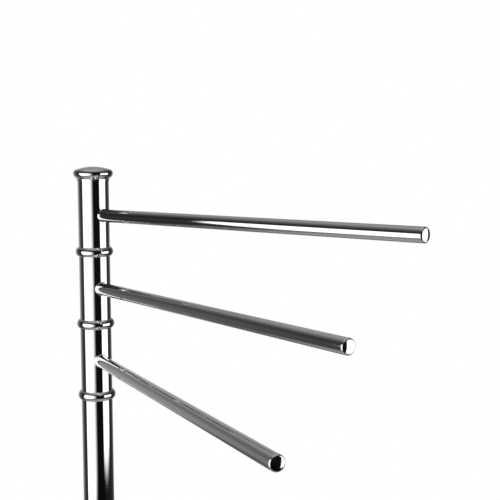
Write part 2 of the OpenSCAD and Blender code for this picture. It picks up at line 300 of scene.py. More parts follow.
# Bright zinc plate with a clear passivate on stamped and turned steel. It gives the eye a soft grey
# mirror, faintly blue and straw in 9 mm patches, with a crystal grain, drawn at a coarse 0.8 mm.
def zinc_plate():
    finish, tree = new_finish("zinc_plate_clear_passivate")
    place = add(tree, "ShaderNodeTexCoord").outputs["Object"]
    patches = add(tree, "ShaderNodeTexNoise", {"Vector": place, "Scale": 1 / (9 * MM), "Detail": 3.0})
    colour = add(tree, "ShaderNodeMix",
                 {0: patches.outputs["Fac"], 6: linear("#AEB6C0"), 7: linear("#C3BEAA")},
                 data_type="RGBA")
    grain = add(tree, "ShaderNodeTexNoise", {"Vector": place, "Scale": 1 / (0.8 * MM), "Detail": 4.0})
    gloss = add(tree, "ShaderNodeMapRange",
                {"Value": grain.outputs["Fac"], "To Min": 0.24, "To Max": 0.44})
    bump = add(tree, "ShaderNodeBump",
               {"Height": grain.outputs["Fac"], "Strength": 0.6, "Distance": 12e-6})
    shader = add(tree, "ShaderNodeBsdfPrincipled",
                 {"Base Color": colour.outputs[2], "Roughness": gloss.outputs["Result"],
                  "Metallic": 1.0, "Normal": bump.outputs["Normal"]})
    add(tree, "ShaderNodeOutputMaterial", {"Surface": shader.outputs["BSDF"]})
    return finish


# Sand-cast grey iron under thin black paint. It gives the eye a dull skin pebbled by sand of 1.6 mm
# and lumps of 4 mm, where the paint is thinner and greyer on the high spots.
def cast_iron():
    finish, tree = new_finish("sand_cast_iron_black_paint")
    place = add(tree, "ShaderNodeTexCoord").outputs["Object"]
    sand = add(tree, "ShaderNodeTexNoise", {"Vector": place, "Scale": 1 / (1.6 * MM), "Detail": 5.0})
    lumps = add(tree, "ShaderNodeTexVoronoi", {"Vector": place, "Scale": 1 / (4 * MM)})
    height = add(tree, "ShaderNodeMath", {0: sand.outputs["Fac"], 1: lumps.outputs["Distance"]},
                 operation="ADD")
    colour = add(tree, "ShaderNodeMix",
                 {0: sand.outputs["Fac"], 6: linear("#232426"), 7: linear("#4C4D4F")}, data_type="RGBA")
    gloss = add(tree, "ShaderNodeMapRange",
                {"Value": sand.outputs["Fac"], "To Min": 0.85, "To Max": 0.6})
    bump = add(tree, "ShaderNodeBump",
               {"Height": height.outputs[0], "Strength": 0.9, "Distance": 0.25 * MM})
    shader = add(tree, "ShaderNodeBsdfPrincipled",
                 {"Base Color": colour.outputs[2], "Roughness": gloss.outputs["Result"],
                  "Normal": bump.outputs["Normal"]})
    add(tree, "ShaderNodeOutputMaterial", {"Surface": shader.outputs["BSDF"]})
    return finish


# A moulded plastic or rubber. It gives the eye an even colour, a little clouded every 12 mm, with the
# fine grain of a spark-eroded mould, and it is shinier where it has rubbed.
def moulded(name, dark, light, grain_mm, depth_um, dull, shiny):
    finish, tree = new_finish(name)
    place = add(tree, "ShaderNodeTexCoord").outputs["Object"]
    cloud = add(tree, "ShaderNodeTexNoise", {"Vector": place, "Scale": 1 / (12 * MM), "Detail": 3.0})
    grain = add(tree, "ShaderNodeTexNoise",
                {"Vector": place, "Scale": 1 / (grain_mm * MM), "Detail": 4.0})
    colour = add(tree, "ShaderNodeMix", {0: cloud.outputs["Fac"], 6: linear(dark), 7: linear(light)},
                 data_type="RGBA")
    gloss = add(tree, "ShaderNodeMapRange",
                {"Value": grain.outputs["Fac"], "To Min": shiny, "To Max": dull})
    bump = add(tree, "ShaderNodeBump",
               {"Height": grain.outputs["Fac"], "Strength": 0.7, "Distance": depth_um * 1e-6})
    shader = add(tree, "ShaderNodeBsdfPrincipled",
                 {"Base Color": colour.outputs[2], "Roughness": gloss.outputs["Result"],
                  "Normal": bump.outputs["Normal"]})
    add(tree, "ShaderNodeOutputMaterial", {"Surface": shader.outputs["BSDF"]})
    return finish


TUBE_CHROME = chrome("chrome_plate_on_drawn_tube", "#E2E5E9", "#E9E6E1", 11, 2, 0.7, 2)
TURNED_CHROME = chrome("chrome_plate_on_turned_steel", "#E2E5E9", "#E8E5E0", 5, 1, 0.4, 0)
SHEET_CHROME = chrome("chrome_plate_on_pressed_sheet", "#DFE2E6", "#E6E3DE", 18, 6, 0.9, 0)
ZINC = zinc_plate()
IRON = cast_iron()
NYLON = moulded("moulded_nylon_natural", "#E4E0D2", "#EEEBE1", 0.6, 12, 0.52, 0.38)
RUBBER = moulded("moulded_rubber_black", "#161617", "#222223", 0.5, 30, 0.85, 0.62)


# ---- shapes that a geometry tree makes from named sizes ----

def new_tree(name, inputs):
    """An empty geometry tree with named inputs. Gives the tree and the sockets that its nodes read."""
    tree = bpy.data.node_groups.new(name, "GeometryNodeTree")
    for label, kind in inputs:
        tree.interface.new_socket(label, in_out="INPUT", socket_type="NodeSocket" + kind)
    tree.interface.new_socket("Shape", in_out="OUTPUT", socket_type="NodeSocketGeometry")
    return tree, add(tree, "NodeGroupInput").outputs


def finish_tree(tree, shape, given):
    """Realizes the instances and puts the finish on, as every tree here ends."""
    real = add(tree, "GeometryNodeRealizeInstances", {0: shape})
    coated = add(tree, "GeometryNodeSetMaterial", {0: real.outputs[0], "Material": given["Finish"]})
    add(tree, "NodeGroupOutput", {0: coated.outputs[0]})
    return tree


def grown(name, tree, sizes):
    """The plain mesh that a tree makes from these sizes."""
    piece = bpy.data.objects.new(name, bpy.data.meshes.new(name))
    bpy.context.scene.collection.objects.link(piece)
    shaper = piece.modifiers.new("shape", "NODES")
    shaper.node_group = tree
    for socket in tree.interface.items_tree:
        if socket.in_out == "INPUT":
            shaper[socket.identifier] = sizes[socket.name]
    made = bpy.data.meshes.new_from_object(piece.evaluated_get(bpy.context.evaluated_depsgraph_get()))
    piece.modifiers.remove(shaper)
    spare, piece.data = piece.data, made
    bpy.data.meshes.remove(spare)
    made.name = name
    return piece


def scrap(piece):
    """Takes away a shape that was only wanted as part of another."""
    bpy.data.meshes.remove(piece.data)


# A tube on the Z axis, its ends broken by Edge break, with a round hole through one wall where Hole
# radius isn't 0. The hole is Hole height up and Hole aim round from +X.
def tube_tree():
    tree, given = new_tree("drawn_tube", (
        ("Outer radius", "Float"), ("Wall", "Float"), ("Bottom", "Float"), ("Top", "Float"),
        ("Edge break", "Float"), ("Sides", "Int"), ("Hole radius", "Float"), ("Hole height", "Float"),
        ("Hole aim", "Float"), ("Finish", "Material")))
    length = add(tree, "ShaderNodeMath", {0: given["Top"], 1: given["Bottom"]}, operation="SUBTRACT")
    half_wall = add(tree, "ShaderNodeMath", {0: given["Wall"], 1: 0.5}, operation="MULTIPLY")
    mid_wall = add(tree, "ShaderNodeMath", {0: given["Outer radius"], 1: half_wall.outputs[0]},
                   operation="SUBTRACT")
    path = add(tree, "GeometryNodeCurvePrimitiveCircle",
               {"Resolution": given["Sides"], "Radius": mid_wall.outputs[0]})
    wall = add(tree, "GeometryNodeCurvePrimitiveQuadrilateral",
               {"Width": given["Wall"], "Height": length.outputs[0]})
    eased = add(tree, "GeometryNodeFilletCurve",
                {"Curve": wall.outputs[0], "Count": 3, "Radius": given["Edge break"]}, mode="POLY")
    swept = add(tree, "GeometryNodeCurveToMesh",
                {"Curve": path.outputs[0], "Profile Curve": eased.outputs[0]})
    half_length = add(tree, "ShaderNodeMath", {0: length.outputs[0], 1: 0.5}, operation="MULTIPLY")
    middle = add(tree, "ShaderNodeMath", {0: given["Bottom"], 1: half_length.outputs[0]},
                 operation="ADD")
    lift = add(tree, "ShaderNodeCombineXYZ", {"Z": middle.outputs[0]})
    tube = add(tree, "GeometryNodeTransform", {0: swept.outputs[0], "Translation": lift.outputs[0]})
    drill = add(tree, "GeometryNodeMeshCylinder",
                {"Vertices": 160, "Radius": given["Hole radius"], "Depth": given["Outer radius"]})
    reach = add(tree, "ShaderNodeCombineXYZ", {"X": given["Outer radius"]})
    level_drill = add(tree, "GeometryNodeTransform",
                      {0: drill.outputs["Mesh"], "Translation": reach.outputs[0],
                       "Rotation": (0, math.pi / 2, 0)})
    place = add(tree, "ShaderNodeCombineXYZ", {"Z": given["Hole height"]})
    turn = add(tree, "ShaderNodeCombineXYZ", {"Z": given["Hole aim"]})
    aimed = add(tree, "GeometryNodeTransform",
                {0: level_drill.outputs[0], "Translation": place.outputs[0],
                 "Rotation": turn.outputs[0]})
    drilled = add(tree, "GeometryNodeMeshBoolean", {0: tube.outputs[0], 1: aimed.outputs[0]},
                  operation="DIFFERENCE", solver="EXACT")
    bored = add(tree, "FunctionNodeCompare", {0: given["Hole radius"], 1: 0.0},
                operation="GREATER_THAN")
    chosen = add(tree, "GeometryNodeSwitch",
                 {"Switch": bored.outputs[0], "False": tube.outputs[0], "True": drilled.outputs[0]},
                 input_type="GEOMETRY")
    smooth = add(tree, "GeometryNodeSetShadeSmooth", {0: chosen.outputs[0]})
    return finish_tree(tree, smooth.outputs[0], given)


# A turned part with a thread cut on it: a ridge Pitch from turn to turn that follows a helix, and a
# cross recess in its lower end where Recess span isn't 0.
def threaded_tree():
    tree, given = new_tree("threaded_part", (
        ("Turned part", "Object"), ("Thread radius", "Float"), ("Pitch", "Float"), ("Ridge", "Float"),
        ("Thread bottom", "Float"), ("Thread top", "Float"), ("Recess span", "Float"),
        ("Recess width", "Float"), ("Recess top", "Float"), ("Finish", "Material")))
    blank = add(tree, "GeometryNodeObjectInfo", {"Object": given["Turned part"]}).outputs["Geometry"]
    depth = add(tree, "ShaderNodeMath", {0: given["Recess top"], 1: 2.0}, operation="MULTIPLY")
    slots = []
    for span, width in (("Recess span", "Recess width"), ("Recess width", "Recess span")):
        size = add(tree, "ShaderNodeCombineXYZ",
                   {"X": given[span], "Y": given[width], "Z": depth.outputs[0]})
        slots.append(add(tree, "GeometryNodeMeshCube", {"Size": size.outputs[0]}).outputs["Mesh"])
    cut = add(tree, "GeometryNodeMeshBoolean", {0: blank, 1: slots[0]},
              operation="DIFFERENCE", solver="EXACT")
    tree.links.new(slots[1], cut.inputs[1])
    recessed = add(tree, "FunctionNodeCompare", {0: given["Recess span"], 1: 0.0},
                   operation="GREATER_THAN")
    body = add(tree, "GeometryNodeSwitch",
               {"Switch": recessed.outputs[0], "False": blank, "True": cut.outputs[0]},
               input_type="GEOMETRY")
    length = add(tree, "ShaderNodeMath", {0: given["Thread top"], 1: given["Thread bottom"]},
                 operation="SUBTRACT")
    middle = add(tree, "ShaderNodeMath", {0: given["Thread radius"], 1: given["Ridge"]},
                 operation="SUBTRACT")
    turns = add(tree, "ShaderNodeMath", {0: length.outputs[0], 1: given["Pitch"]}, operation="DIVIDE")
    helix = add(tree, "GeometryNodeCurveSpiral",
                {"Resolution": 32, "Rotations": turns.outputs[0], "Start Radius": middle.outputs[0],
                 "End Radius": middle.outputs[0], "Height": length.outputs[0]})
    upright = add(tree, "GeometryNodeSetCurveNormal", {0: helix.outputs[0]}, mode="Z_UP")
    ridge = add(tree, "GeometryNodeCurvePrimitiveCircle", {"Resolution": 4, "Radius": given["Ridge"]})
    wound = add(tree, "GeometryNodeCurveToMesh",
                {"Curve": upright.outputs[0], "Profile Curve": ridge.outputs[0], "Fill Caps": True})
    lift = add(tree, "ShaderNodeCombineXYZ", {"Z": given["Thread bottom"]})
    thread = add(tree, "GeometryNodeTransform", {0: wound.outputs[0], "Translation": lift.outputs[0]})
    sharp = add(tree, "GeometryNodeSetShadeSmooth", {0: thread.outputs[0], "Shade Smooth": False})
    both = add(tree, "GeometryNodeJoinGeometry", {0: body.outputs[0]})
    tree.links.new(sharp.outputs[0], both.inputs[0])
    return finish_tree(tree, both.outputs[0], given)


# Count screws on a circle of Circle radius, the first First angle round from +X. Each was driven home
# until it was tight, so its recess points its own way.
def screws_tree():
    tree, given = new_tree("screws_on_a_circle", (
        ("Screw", "Object"), ("Circle radius", "Float"), ("Count", "Int"), ("First angle", "Float"),
        ("Seed", "Int"), ("Finish", "Material")))
    screw = add(tree, "GeometryNodeObjectInfo", {"Object": given["Screw"]}).outputs["Geometry"]
    places = add(tree, "GeometryNodeMeshCircle",
                 {"Vertices": given["Count"], "Radius": given["Circle radius"]})
    turn = add(tree, "ShaderNodeCombineXYZ", {"Z": given["First angle"]})
    turned_places = add(tree, "GeometryNodeTransform",
                        {0: places.outputs[0], "Rotation": turn.outputs[0]})
    driven = add(tree, "FunctionNodeRandomValue",
                 {0: (0, 0, 0), 1: (0, 0, math.pi), "Seed": given["Seed"]}, data_type="FLOAT_VECTOR")
    set_in = add(tree, "GeometryNodeInstanceOnPoints",
                 {"Points": turned_places.outputs[0], "Instance": screw, "Rotation": driven.outputs[0]})
    return finish_tree(tree, set_in.outputs[0], given)


TUBE, THREADED, SCREWS = tube_tree(), threaded_tree(), screws_tree()


# ---- tubes: the post, the sleeves and the arms ----

def true_walls(piece, outer, bore):
    """Makes the round walls of a tube on the Z axis face exactly outwards and inwards, right up to the
    edge of a hole."""
    mesh = piece.data
    facings = [corner.vector.copy() for corner in mesh.corner_normals]
    for face in mesh.polygons:
        for loop in face.loop_indices:
            x, y, _ = mesh.vertices[mesh.loops[loop].vertex_index].co
            away = Vector((x, y, 0))
            lean = face.normal.dot(away.normalized())
            if lean > 0.3 and away.length > (outer - 0.005) * MM:
                facings[loop] = away.normalized()
            elif lean < -0.9 and away.length < (bore + 0.005) * MM:
                facings[loop] = -away.normalized()
            elif abs(lean) < 0.5:
                facings[loop] = face.normal.copy()
    mesh.normals_split_custom_set(facings)
    return piece


def tube_piece(name, outer, wall, bottom, top, sides, edge=EDGE_BREAK, hole=(0.0, 0.0, 0.0)):
    """A tube from the tree, in millimetres. hole is the radius, height and aim of the hole in it."""
    made = grown(name, TUBE, {
        "Outer radius": outer * MM, "Wall": wall * MM, "Bottom": bottom * MM, "Top": top * MM,
        "Edge break": edge * MM, "Sides": sides, "Hole radius": hole[0] * MM,
        "Hole height": hole[1] * MM, "Hole aim": math.radians(hole[2]), "Finish": TUBE_CHROME})
    return true_walls(made, outer, outer - wall)


def arm_height(level):
    """The height of an arm's middle line."""
    return (low("arm_" + level).z + high("arm_" + level).z) / 2


def on_arm(level):
    """From an arm lying along +Z, starting on the post's axis, to where it is on the rack."""
    return (Matrix.Translation((0, 0, arm_height(level) * MM))
            @ Matrix.Rotation(math.radians(ARM_AIM[level]), 4, "Z")
            @ Matrix.Rotation(math.radians(90), 4, "Y"))


def braze_fillet(name, level):
    """The plated fillet of braze where an arm goes into its sleeve, along the saddle where the tubes
    meet. Its section is hollow, and its back edge is buried in the sleeve."""
    verts, faces, sides, steps = [], [], 96, 8
    section = [(ARM_R + BRAZE * (1 - math.sin(a)), BRAZE * (1 - math.cos(a)))
               for a in [math.pi / 2 * k / steps for k in range(steps + 1)]]
    section.append((ARM_R - 0.3, -0.3))
    for k in range(sides):
        t = 2 * math.pi * k / sides
        for reach, out in section:
            saddle = math.sqrt(POST_R ** 2 - (reach * math.sin(t)) ** 2) + out
            verts.append((reach * math.cos(t) * MM, reach * math.sin(t) * MM, saddle * MM))
    count = len(section)
    for k in range(sides):
        here, there = k * count, (k + 1) % sides * count
        for i in range(count):
            j = (i + 1) % count
            faces.append([here + i, here + j, there + j, there + i])
    piece = faced(new_piece(name, verts, faces), 50)
    piece.data.transform(on_arm(level))
    piece.data.update()
    return piece


dress(tube_piece("lower_post_tube", POST_R, POST_WALL, low("lower_post").z, high("lower_post").z, 256),
      TUBE_CHROME, "stand", ["lower_post"])

for level in LEVELS:
    body, sleeve = level + "_swivel", "sleeve_" + level
    dress(tube_piece("sleeve_tube_" + level, POST_R, POST_WALL, low(sleeve).z, high(sleeve).z, 256,
                     hole=(ARM_R, arm_height(level), ARM_AIM[level])),
          TUBE_CHROME, body, [sleeve])
    arm = tube_piece("arm_tube_" + level, ARM_R, ARM_WALL, ARM_ROOT, ARM_END, 160, edge=0.12)
    arm.data.transform(on_arm(level))
    dress(arm, TUBE_CHROME, body, ["arm_" + level])
    dress(braze_fillet("arm_braze_" + level, level), TURNED_CHROME, body, [])
    drop = ARM_TIP - ARM_END - PLUG_SIDE
    inset = ARM_R - PLUG_ROUND
    crown = (inset ** 2 + drop ** 2 - PLUG_ROUND ** 2) / (2 * (drop - PLUG_ROUND))
    turn = math.degrees(math.asin(inset / (crown - PLUG_ROUND)))
    side, stem = ARM_END + PLUG_SIDE, ARM_END - PLUG_STEM
    plug = (outline([(0, stem, 0), (ARM_R - ARM_WALL, stem, 0.5), (ARM_R - ARM_WALL, ARM_END, 0),
                     (ARM_R, ARM_END, 0.15), (ARM_R, side, 0)], closed=False)
            + [arc((inset, side), PLUG_ROUND, 0, 90 - turn),
               arc((0, ARM_TIP - crown), crown, 90 - turn, 90, step=1)])
    from_section("arm_plug_turned_" + level, plug, TURNED_CHROME, body, ["arm_plug_" + level],
                 sides=160, place=on_arm(level))

# ---- rings ----

BEAD_X = POST_R + RING_PROUD - RING_ROUND
NOSE = 0.25
NOSE_Z = RING_H / 2 - NOSE
NOSE_X = BEAD_X + math.sqrt((RING_ROUND - NOSE) ** 2 - NOSE_Z ** 2)
NOSE_TURN = math.degrees(math.atan2(NOSE_Z, NOSE_X - BEAD_X))
for level in LEVELS:
    z = (low("ring_" + level).z + high("ring_" + level).z) / 2
    half, web = RING_H / 2, RING_WEB / 2
    inner = outline([(NOSE_X, z + half, 0), (SOCKET_R, z + half, 0.1), (SOCKET_R, z + web, 0),
                     (SPINDLE_R, z + web, 0.2), (SPINDLE_R, z - web, 0.2), (SOCKET_R, z - web, 0),
                     (SOCKET_R, z - half, 0.1), (NOSE_X, z - half, 0)], closed=False)
    bead = [arc((NOSE_X, z - NOSE_Z), NOSE, -90, -NOSE_TURN, 15),
            arc((BEAD_X, z), RING_ROUND, -NOSE_TURN, NOSE_TURN, 3),
            arc((NOSE_X, z + NOSE_Z), NOSE, NOSE_TURN, 90, 15)]
    from_section("bead_ring_" + level, bead + inner, TURNED_CHROME, "stand", ["ring_" + level])

# ---- cap ----

CAP_TOP = high("cap").z
CAP_SEAM = CAP_TOP - CAP_H
RIM = (POST_R, CAP_TOP - CAP_CROWN)
crown = (RIM[0] ** 2 + CAP_CROWN ** 2 - CAP_ROUND ** 2) / (2 * (CAP_CROWN - CAP_ROUND))
turn = math.degrees(math.asin(RIM[0] / (crown - CAP_ROUND)))
flare = (RIM[0] + CAP_ROUND * math.sqrt(0.5), RIM[1] - CAP_ROUND * math.sqrt(0.5))  # 45 degrees down
neck = SOCKET_R + CAP_LIP
FACE = CAP_SEAM + CAP_SOCKET
BOSS_R, BOSS_LOW, BORE_TOP = SPINDLE_R + BOSS_WALL, FACE - BOSS_H, FACE + BOSS_BORE
cap = (outline([(0, BORE_TOP, 0), (SPINDLE_R, BORE_TOP, 0), (SPINDLE_R, BOSS_LOW, 0.3),
                (BOSS_R, BOSS_LOW, 0.2), (BOSS_R, FACE, 0), (SOCKET_R, FACE, 0),
                (SOCKET_R, CAP_SEAM, 0.1), (neck, CAP_SEAM, 0.12),
                (neck, flare[1] - flare[0] + neck, 0.6), (flare[0], flare[1], 0)], closed=False)
       + [arc(RIM, CAP_ROUND, -45, 90 - turn, 3),
          arc((0, CAP_TOP - crown), crown, 90 - turn, 90, 1)])
from_section("cap_turned", cap, TURNED_CHROME, "stand", ["cap"])

# ---- bushes, drawn with the face at one end: up is 1 where the face is on top ----

def bush_outline(face, up):
    """A face, and below it a hub on the spindle and a skirt in the sleeve."""
    skirt, deep, far = BORE_R - BUSH_WALL, face - up * BUSH_FACE, face - up * BUSH_LEN
    corners = [(BUSH_BORE, far, 0.3), (BUSH_HUB, far, 0.3), (BUSH_HUB, deep, 0.5), (skirt, deep, 0.5),
               (skirt, far, 0.3), (BORE_R, far, 0.3), (BORE_R, face, 0.3), (BUSH_BORE, face, 0.3)]
    return outline(corners if up > 0 else corners[::-1])


for level in LEVELS:
    body = level + "_swivel"
    for end, up in (("upper", 1), ("lower", -1)):
        node = "%s_bush_%s" % (end, level)
        face = high(node).z if up > 0 else low(node).z
        if node == "upper_bush_top":
            # the topmost one is a cup that holds the washer, the disc spring and the lock nut
            foot, cup_floor = low(node).z, low("stack_washer").z
            cup = NUT_FLATS / math.sqrt(3) + NUT_ROOM
            strips = outline([(BUSH_BORE, foot, 0.3), (BUSH_HUB, foot, 0.3),
                              (BUSH_HUB, cup_floor - BUSH_FACE, 0.4),
                              (BORE_R, cup_floor - BUSH_FACE, 0.3), (BORE_R, face, 0.3),
                              (cup, face, 0.3), (cup, cup_floor, 0.4), (BUSH_BORE, cup_floor, 0.2)])
        else:
            strips = bush_outline(face, up)
        from_section("bush_%s_%s" % (end, level), strips, NYLON, body, [node], sides=128)

# ---- spindle, bolt, nut and washers ----

def six_sided(name, flats, bottom, top, bore=0.0, chamfer=0.93, sides=144):
    """A hexagon across these flats, its corners taken off at both ends by a 30 degree cone."""
    corner, face = flats / 2 / math.cos(math.pi / 6), flats / 2 * chamfer
    verts, faces = [], []
    for k in range(sides):
        a = 2 * math.pi * k / sides
        out = flats / 2 / math.cos((a + math.pi / 6) % (math.pi / 3) - math.pi / 6)
        fall = (out - face) * math.tan(math.pi / 6)
        for r, z in ((bore, bottom), (face, bottom), (out, bottom + fall), (out, top - fall),
                     (face, top), (bore, top)):
            verts.append((r * math.cos(a) * MM, r * math.sin(a) * MM, z * MM))
    for k in range(sides):
        here, there = k * 6, (k + 1) % sides * 6
        for i in range(6 if bore else 5):
            j = (i + 1) % 6
            faces.append([here + i, there + i, there + j, here + j])
    return faced(new_piece(name, verts, faces), 22, weld=1e-7)


def split_ring(name, bore, outer, bottom, top, gap_deg, lean_deg):
    """A spring lock washer squeezed flat: a square section round most of a circle, cut on the slant."""
    section = [(bore, bottom), (outer, bottom), (outer, top), (bore, top)]
    verts, faces, steps = [], [], 120
    for k in range(steps + 1):
        for r, z in section:
            lean = lean_deg * ((z - bottom) / (top - bottom) - 0.5)
            a = math.radians(gap_deg / 2 + (360 - gap_deg) * k / steps + lean)
            verts.append((r * math.cos(a) * MM, r * math.sin(a) * MM, z * MM))
    for k in range(steps):
        for i in range(4):
            j = (i + 1) % 4
            faces.append([4 * k + i, 4 * k + 4 + i, 4 * k + 4 + j, 4 * k + j])
    faces += [[0, 1, 2, 3], [4 * steps + i for i in (3, 2, 1, 0)]]
    return faced(new_piece(name, verts, faces), 40, ease=0.15 * MM)


def threaded(name, blank, radius, pitch, ridge, bottom, top, recess=(0.0, 0.0, 0.0)):
    """The blank with a thread on it. recess is the span, width and top of a cross recess in its foot."""
    made = grown(name, THREADED, {
        "Turned part": blank, "Thread radius": radius * MM, "Pitch": pitch * MM, "Ridge": ridge * MM,
        "Thread bottom": bottom * MM, "Thread top": top * MM, "Recess span": recess[0] * MM,
        "Recess width": recess[1] * MM, "Recess top": recess[2] * MM, "Finish": ZINC})
    scrap(blank)
    return made


def washer(name, node, bore, rounding, sides=128):
    """A flat washer in a node's box."""
    outer = high(node).x
    from_section(name, outline([(bore, low(node).z, rounding), (outer, low(node).z, rounding),
                                (outer, high(node).z, rounding), (bore, high(node).z, rounding)]),
                 ZINC, "stand", [node], sides)


root = SPINDLE_R - THREAD_DEPTH - 0.1
foot, tip = low("spindle").z, high("spindle").z
held_to, nut_from = low("ring_bottom").z + (RING_H - RING_WEB) / 2, low("lock_nut").z - 3
rod = turned("spindle_blank", outline([
    (0, foot, 0), (root, foot, 0.8), (root, held_to - 0.8, 0), (SPINDLE_R, held_to, 0),
    (SPINDLE_R, nut_from, 0), (root, nut_from + 0.8, 0), (root, tip, 0.8),
    (0, tip, 0)], closed=False), 64)
lower_thread = threaded("spindle_lower_thread", rod, SPINDLE_R, THREAD_PITCH, THREAD_DEPTH,
                        foot + 1.2, held_to - 1.4)
spindle = threaded("spindle_rod", lower_thread, SPINDLE_R, THREAD_PITCH, THREAD_DEPTH,
                   nut_from + 1.2, tip - 1.2)
dress(spindle, ZINC, "stand", ["spindle"])

head_low, head_high, bolt_top = low("base_bolt").z, low("base_lock_washer").z, high("base_bolt").z
head = six_sided("bolt_head", NUT_FLATS, head_low, head_high)
shank_to = low("post_bottom_insert").z
shank = turned("bolt_blank", outline([
    (0, head_high, 0), (BOLT_R, head_high, 0), (BOLT_R, shank_to - 1, 0), (root, shank_to, 0),
    (root, bolt_top, 0.8), (0, bolt_top, 0)], closed=False), 64)
with bpy.context.temp_override(active_object=head, selected_editable_objects=[head, shank]):
    bpy.ops.object.join()
bolt = threaded("base_bolt_hexagon", head, BOLT_R, THREAD_PITCH, THREAD_DEPTH,
                shank_to + 1, bolt_top - 1.2)
dress(bolt, ZINC, "stand", ["base_bolt"])

dress(six_sided("lock_nut_thin", NUT_FLATS, low("lock_nut").z, high("lock_nut").z, bore=SPINDLE_R),
      ZINC, "stand", ["lock_nut"])
dress(split_ring("lock_washer_split", BOLT_R, high("base_lock_washer").x, low("base_lock_washer").z,
                 high("base_lock_washer").z, 7, 6), ZINC, "stand", ["base_lock_washer"])
washer("flat_washer_base", "base_washer", BOLT_R, 0.3)
washer("flat_washer_stack", "stack_washer", SPINDLE_R, 0.25)
spring_low, spring_high, spring_r = low("disc_spring").z, high("disc_spring").z, high("disc_spring").x
from_section("disc_spring_conical", outline([
    (SPINDLE_R, spring_high - 0.8, 0.15), (spring_r, spring_low, 0.15),
    (spring_r, spring_low + 0.8, 0.15), (SPINDLE_R, spring_high, 0.15)]),
    ZINC, "stand", ["disc_spring"], 128)

for node in ("post_bottom_insert", "post_top_insert"):
    bottom, top = low(node).z, high(node).z
    groove = (bottom + top) / 2
    from_section(node + "_turned", outline([
        (SPINDLE_R, bottom, 0.5), (BORE_R, bottom, 0.4), (BORE_R, groove - 1.2, 0.2),
        (BORE_R - 0.6, groove - 0.6, 0.2), (BORE_R - 0.6, groove + 0.6, 0.2),
        (BORE_R, groove + 1.2, 0.2), (BORE_R, top, 0.4), (SPINDLE_R, top, 0.5)]),
        ZINC, "stand", [node], 128)

# ---- base ----

BASE_R, FOOT = high("base_cover").x, low("base_plate").z
EDGE_Z, EDGE_ROUND, BASE_H = 9.0, 6.0, high("base_cover").z
SLOPE = (BASE_H - EDGE_Z - EDGE_ROUND) / (BASE_R - EDGE_ROUND - LAND_R)


def top_of_base(r, down):
    """Height of the sloping top at radius r, or of the face that far below it."""
    return BASE_H - down - (r - LAND_R) * SLOPE


inside = BASE_R - COVER_T
from_section("base_cover_pressed", outline([
    (inside, FOOT, 0.3), (BASE_R, FOOT, 0.3), (BASE_R, top_of_base(BASE_R, 0), EDGE_ROUND),
    (LAND_R, BASE_H, BEND), (BOLT_HOLE_R, BASE_H, 0.2), (BOLT_HOLE_R, BASE_H - COVER_T, 0.2),
    (LAND_R, BASE_H - COVER_T, BEND), (inside, top_of_base(inside, COVER_T), EDGE_ROUND - COVER_T)]),
    SHEET_CHROME, "stand", ["base_cover"], sides=384)

COLLAR_R, NECK_R, COLLAR_TOP = high("post_collar").x, POST_R + 2.4, high("post_collar").z
from_section("post_collar_turned", outline([
    (POST_R, BASE_H, 0), (COLLAR_R, BASE_H, 1.09), (COLLAR_R, BASE_H + 2.2, 1.09),
    (NECK_R, BASE_H + 2.2, 8), (NECK_R, COLLAR_TOP, 1.19), (POST_R, COLLAR_TOP, 1.19)]),
    TURNED_CHROME, "stand", ["post_collar"])

PLATE_TOP = high("base_plate").z
from_section("base_plate_blanked", outline([
    (PLATE_HOLE, FOOT, 0.25), (inside, FOOT, 0.25), (inside, PLATE_TOP, 0.1),
    (PLATE_HOLE, PLATE_TOP, 0.1)]),
    ZINC, "stand", ["base_plate"], 256)

foot_out = high("foot_ring").x
foot_in = foot_out - FOOT_W
grooves = []  # moulded in the tread, so that the ring grips
for middle in (foot_in + 4.5, foot_in + 8, foot_in + 11.5):
    grooves += [(middle - 0.9, 0, 0.15), (middle - 0.6, 0.8, 0.2), (middle + 0.6, 0.8, 0.2),
                (middle + 0.9, 0, 0.15)]
from_section("foot_ring_moulded", outline(
    [(foot_in, 0, 0.8), *grooves, (foot_out, 0, 0.8), (foot_out, FOOT, 0.2), (foot_in, FOOT, 0.2)]),
    RUBBER, "stand", ["foot_ring"], 256)

weight_low, weight_high, weight_r = low("base_weight").z, high("base_weight").z, high("base_weight").x
down = BASE_R - weight_r
from_section("base_weight_cast", outline([
    (POCKET_R, weight_low, 1), (weight_r, weight_low, 1),
    (weight_r, top_of_base(weight_r, down), EDGE_ROUND - down), (LAND_R, BASE_H - down, 4),
    (CAST_SEAT_R, BASE_H - down, 0.7), (CAST_SEAT_R, weight_high, 0.6),
    (BOLT_HOLE_R, weight_high, 0.3), (BOLT_HOLE_R, POCKET_TOP, 0.3), (POCKET_R, POCKET_TOP, 1.5)]),
    IRON, "stand", ["base_weight"], 192)

# Pan-head screws with a cross recess, driven up through the plate
screw_low, screw_top, core = low("plate_screws").z, high("plate_screws").z, SCREW_R - 0.35
blank = turned("screw_blank", outline([
    (0, screw_low, 0), (SCREW_HEAD_R - 0.7, screw_low, 0.9), (SCREW_HEAD_R, screw_low + 1.0, 0.8),
    (SCREW_HEAD_R, FOOT, 0.1), (core, FOOT, 0), (core, screw_top - 1.2, 0),
    (0, screw_top, 0)], closed=False), 64)
screw = threaded("plate_screw", blank, SCREW_R, SCREW_PITCH, SCREW_RIDGE, FOOT + 0.6, screw_top - 1.8,
                 recess=(RECESS_SPAN, RECESS_WIDTH, screw_low + RECESS_DEPTH))
screws = grown("plate_screws_cross_recess", SCREWS, {
    "Screw": screw, "Circle radius": SCREW_CIRCLE * MM, "Count": 4, "First angle": math.radians(45),
    "Seed": 4, "Finish": ZINC})
scrap(screw)
dress(screws, ZINC, "stand", ["plate_screws"])

# ---- studio ----

WHITE = (1, 1, 1, 1)


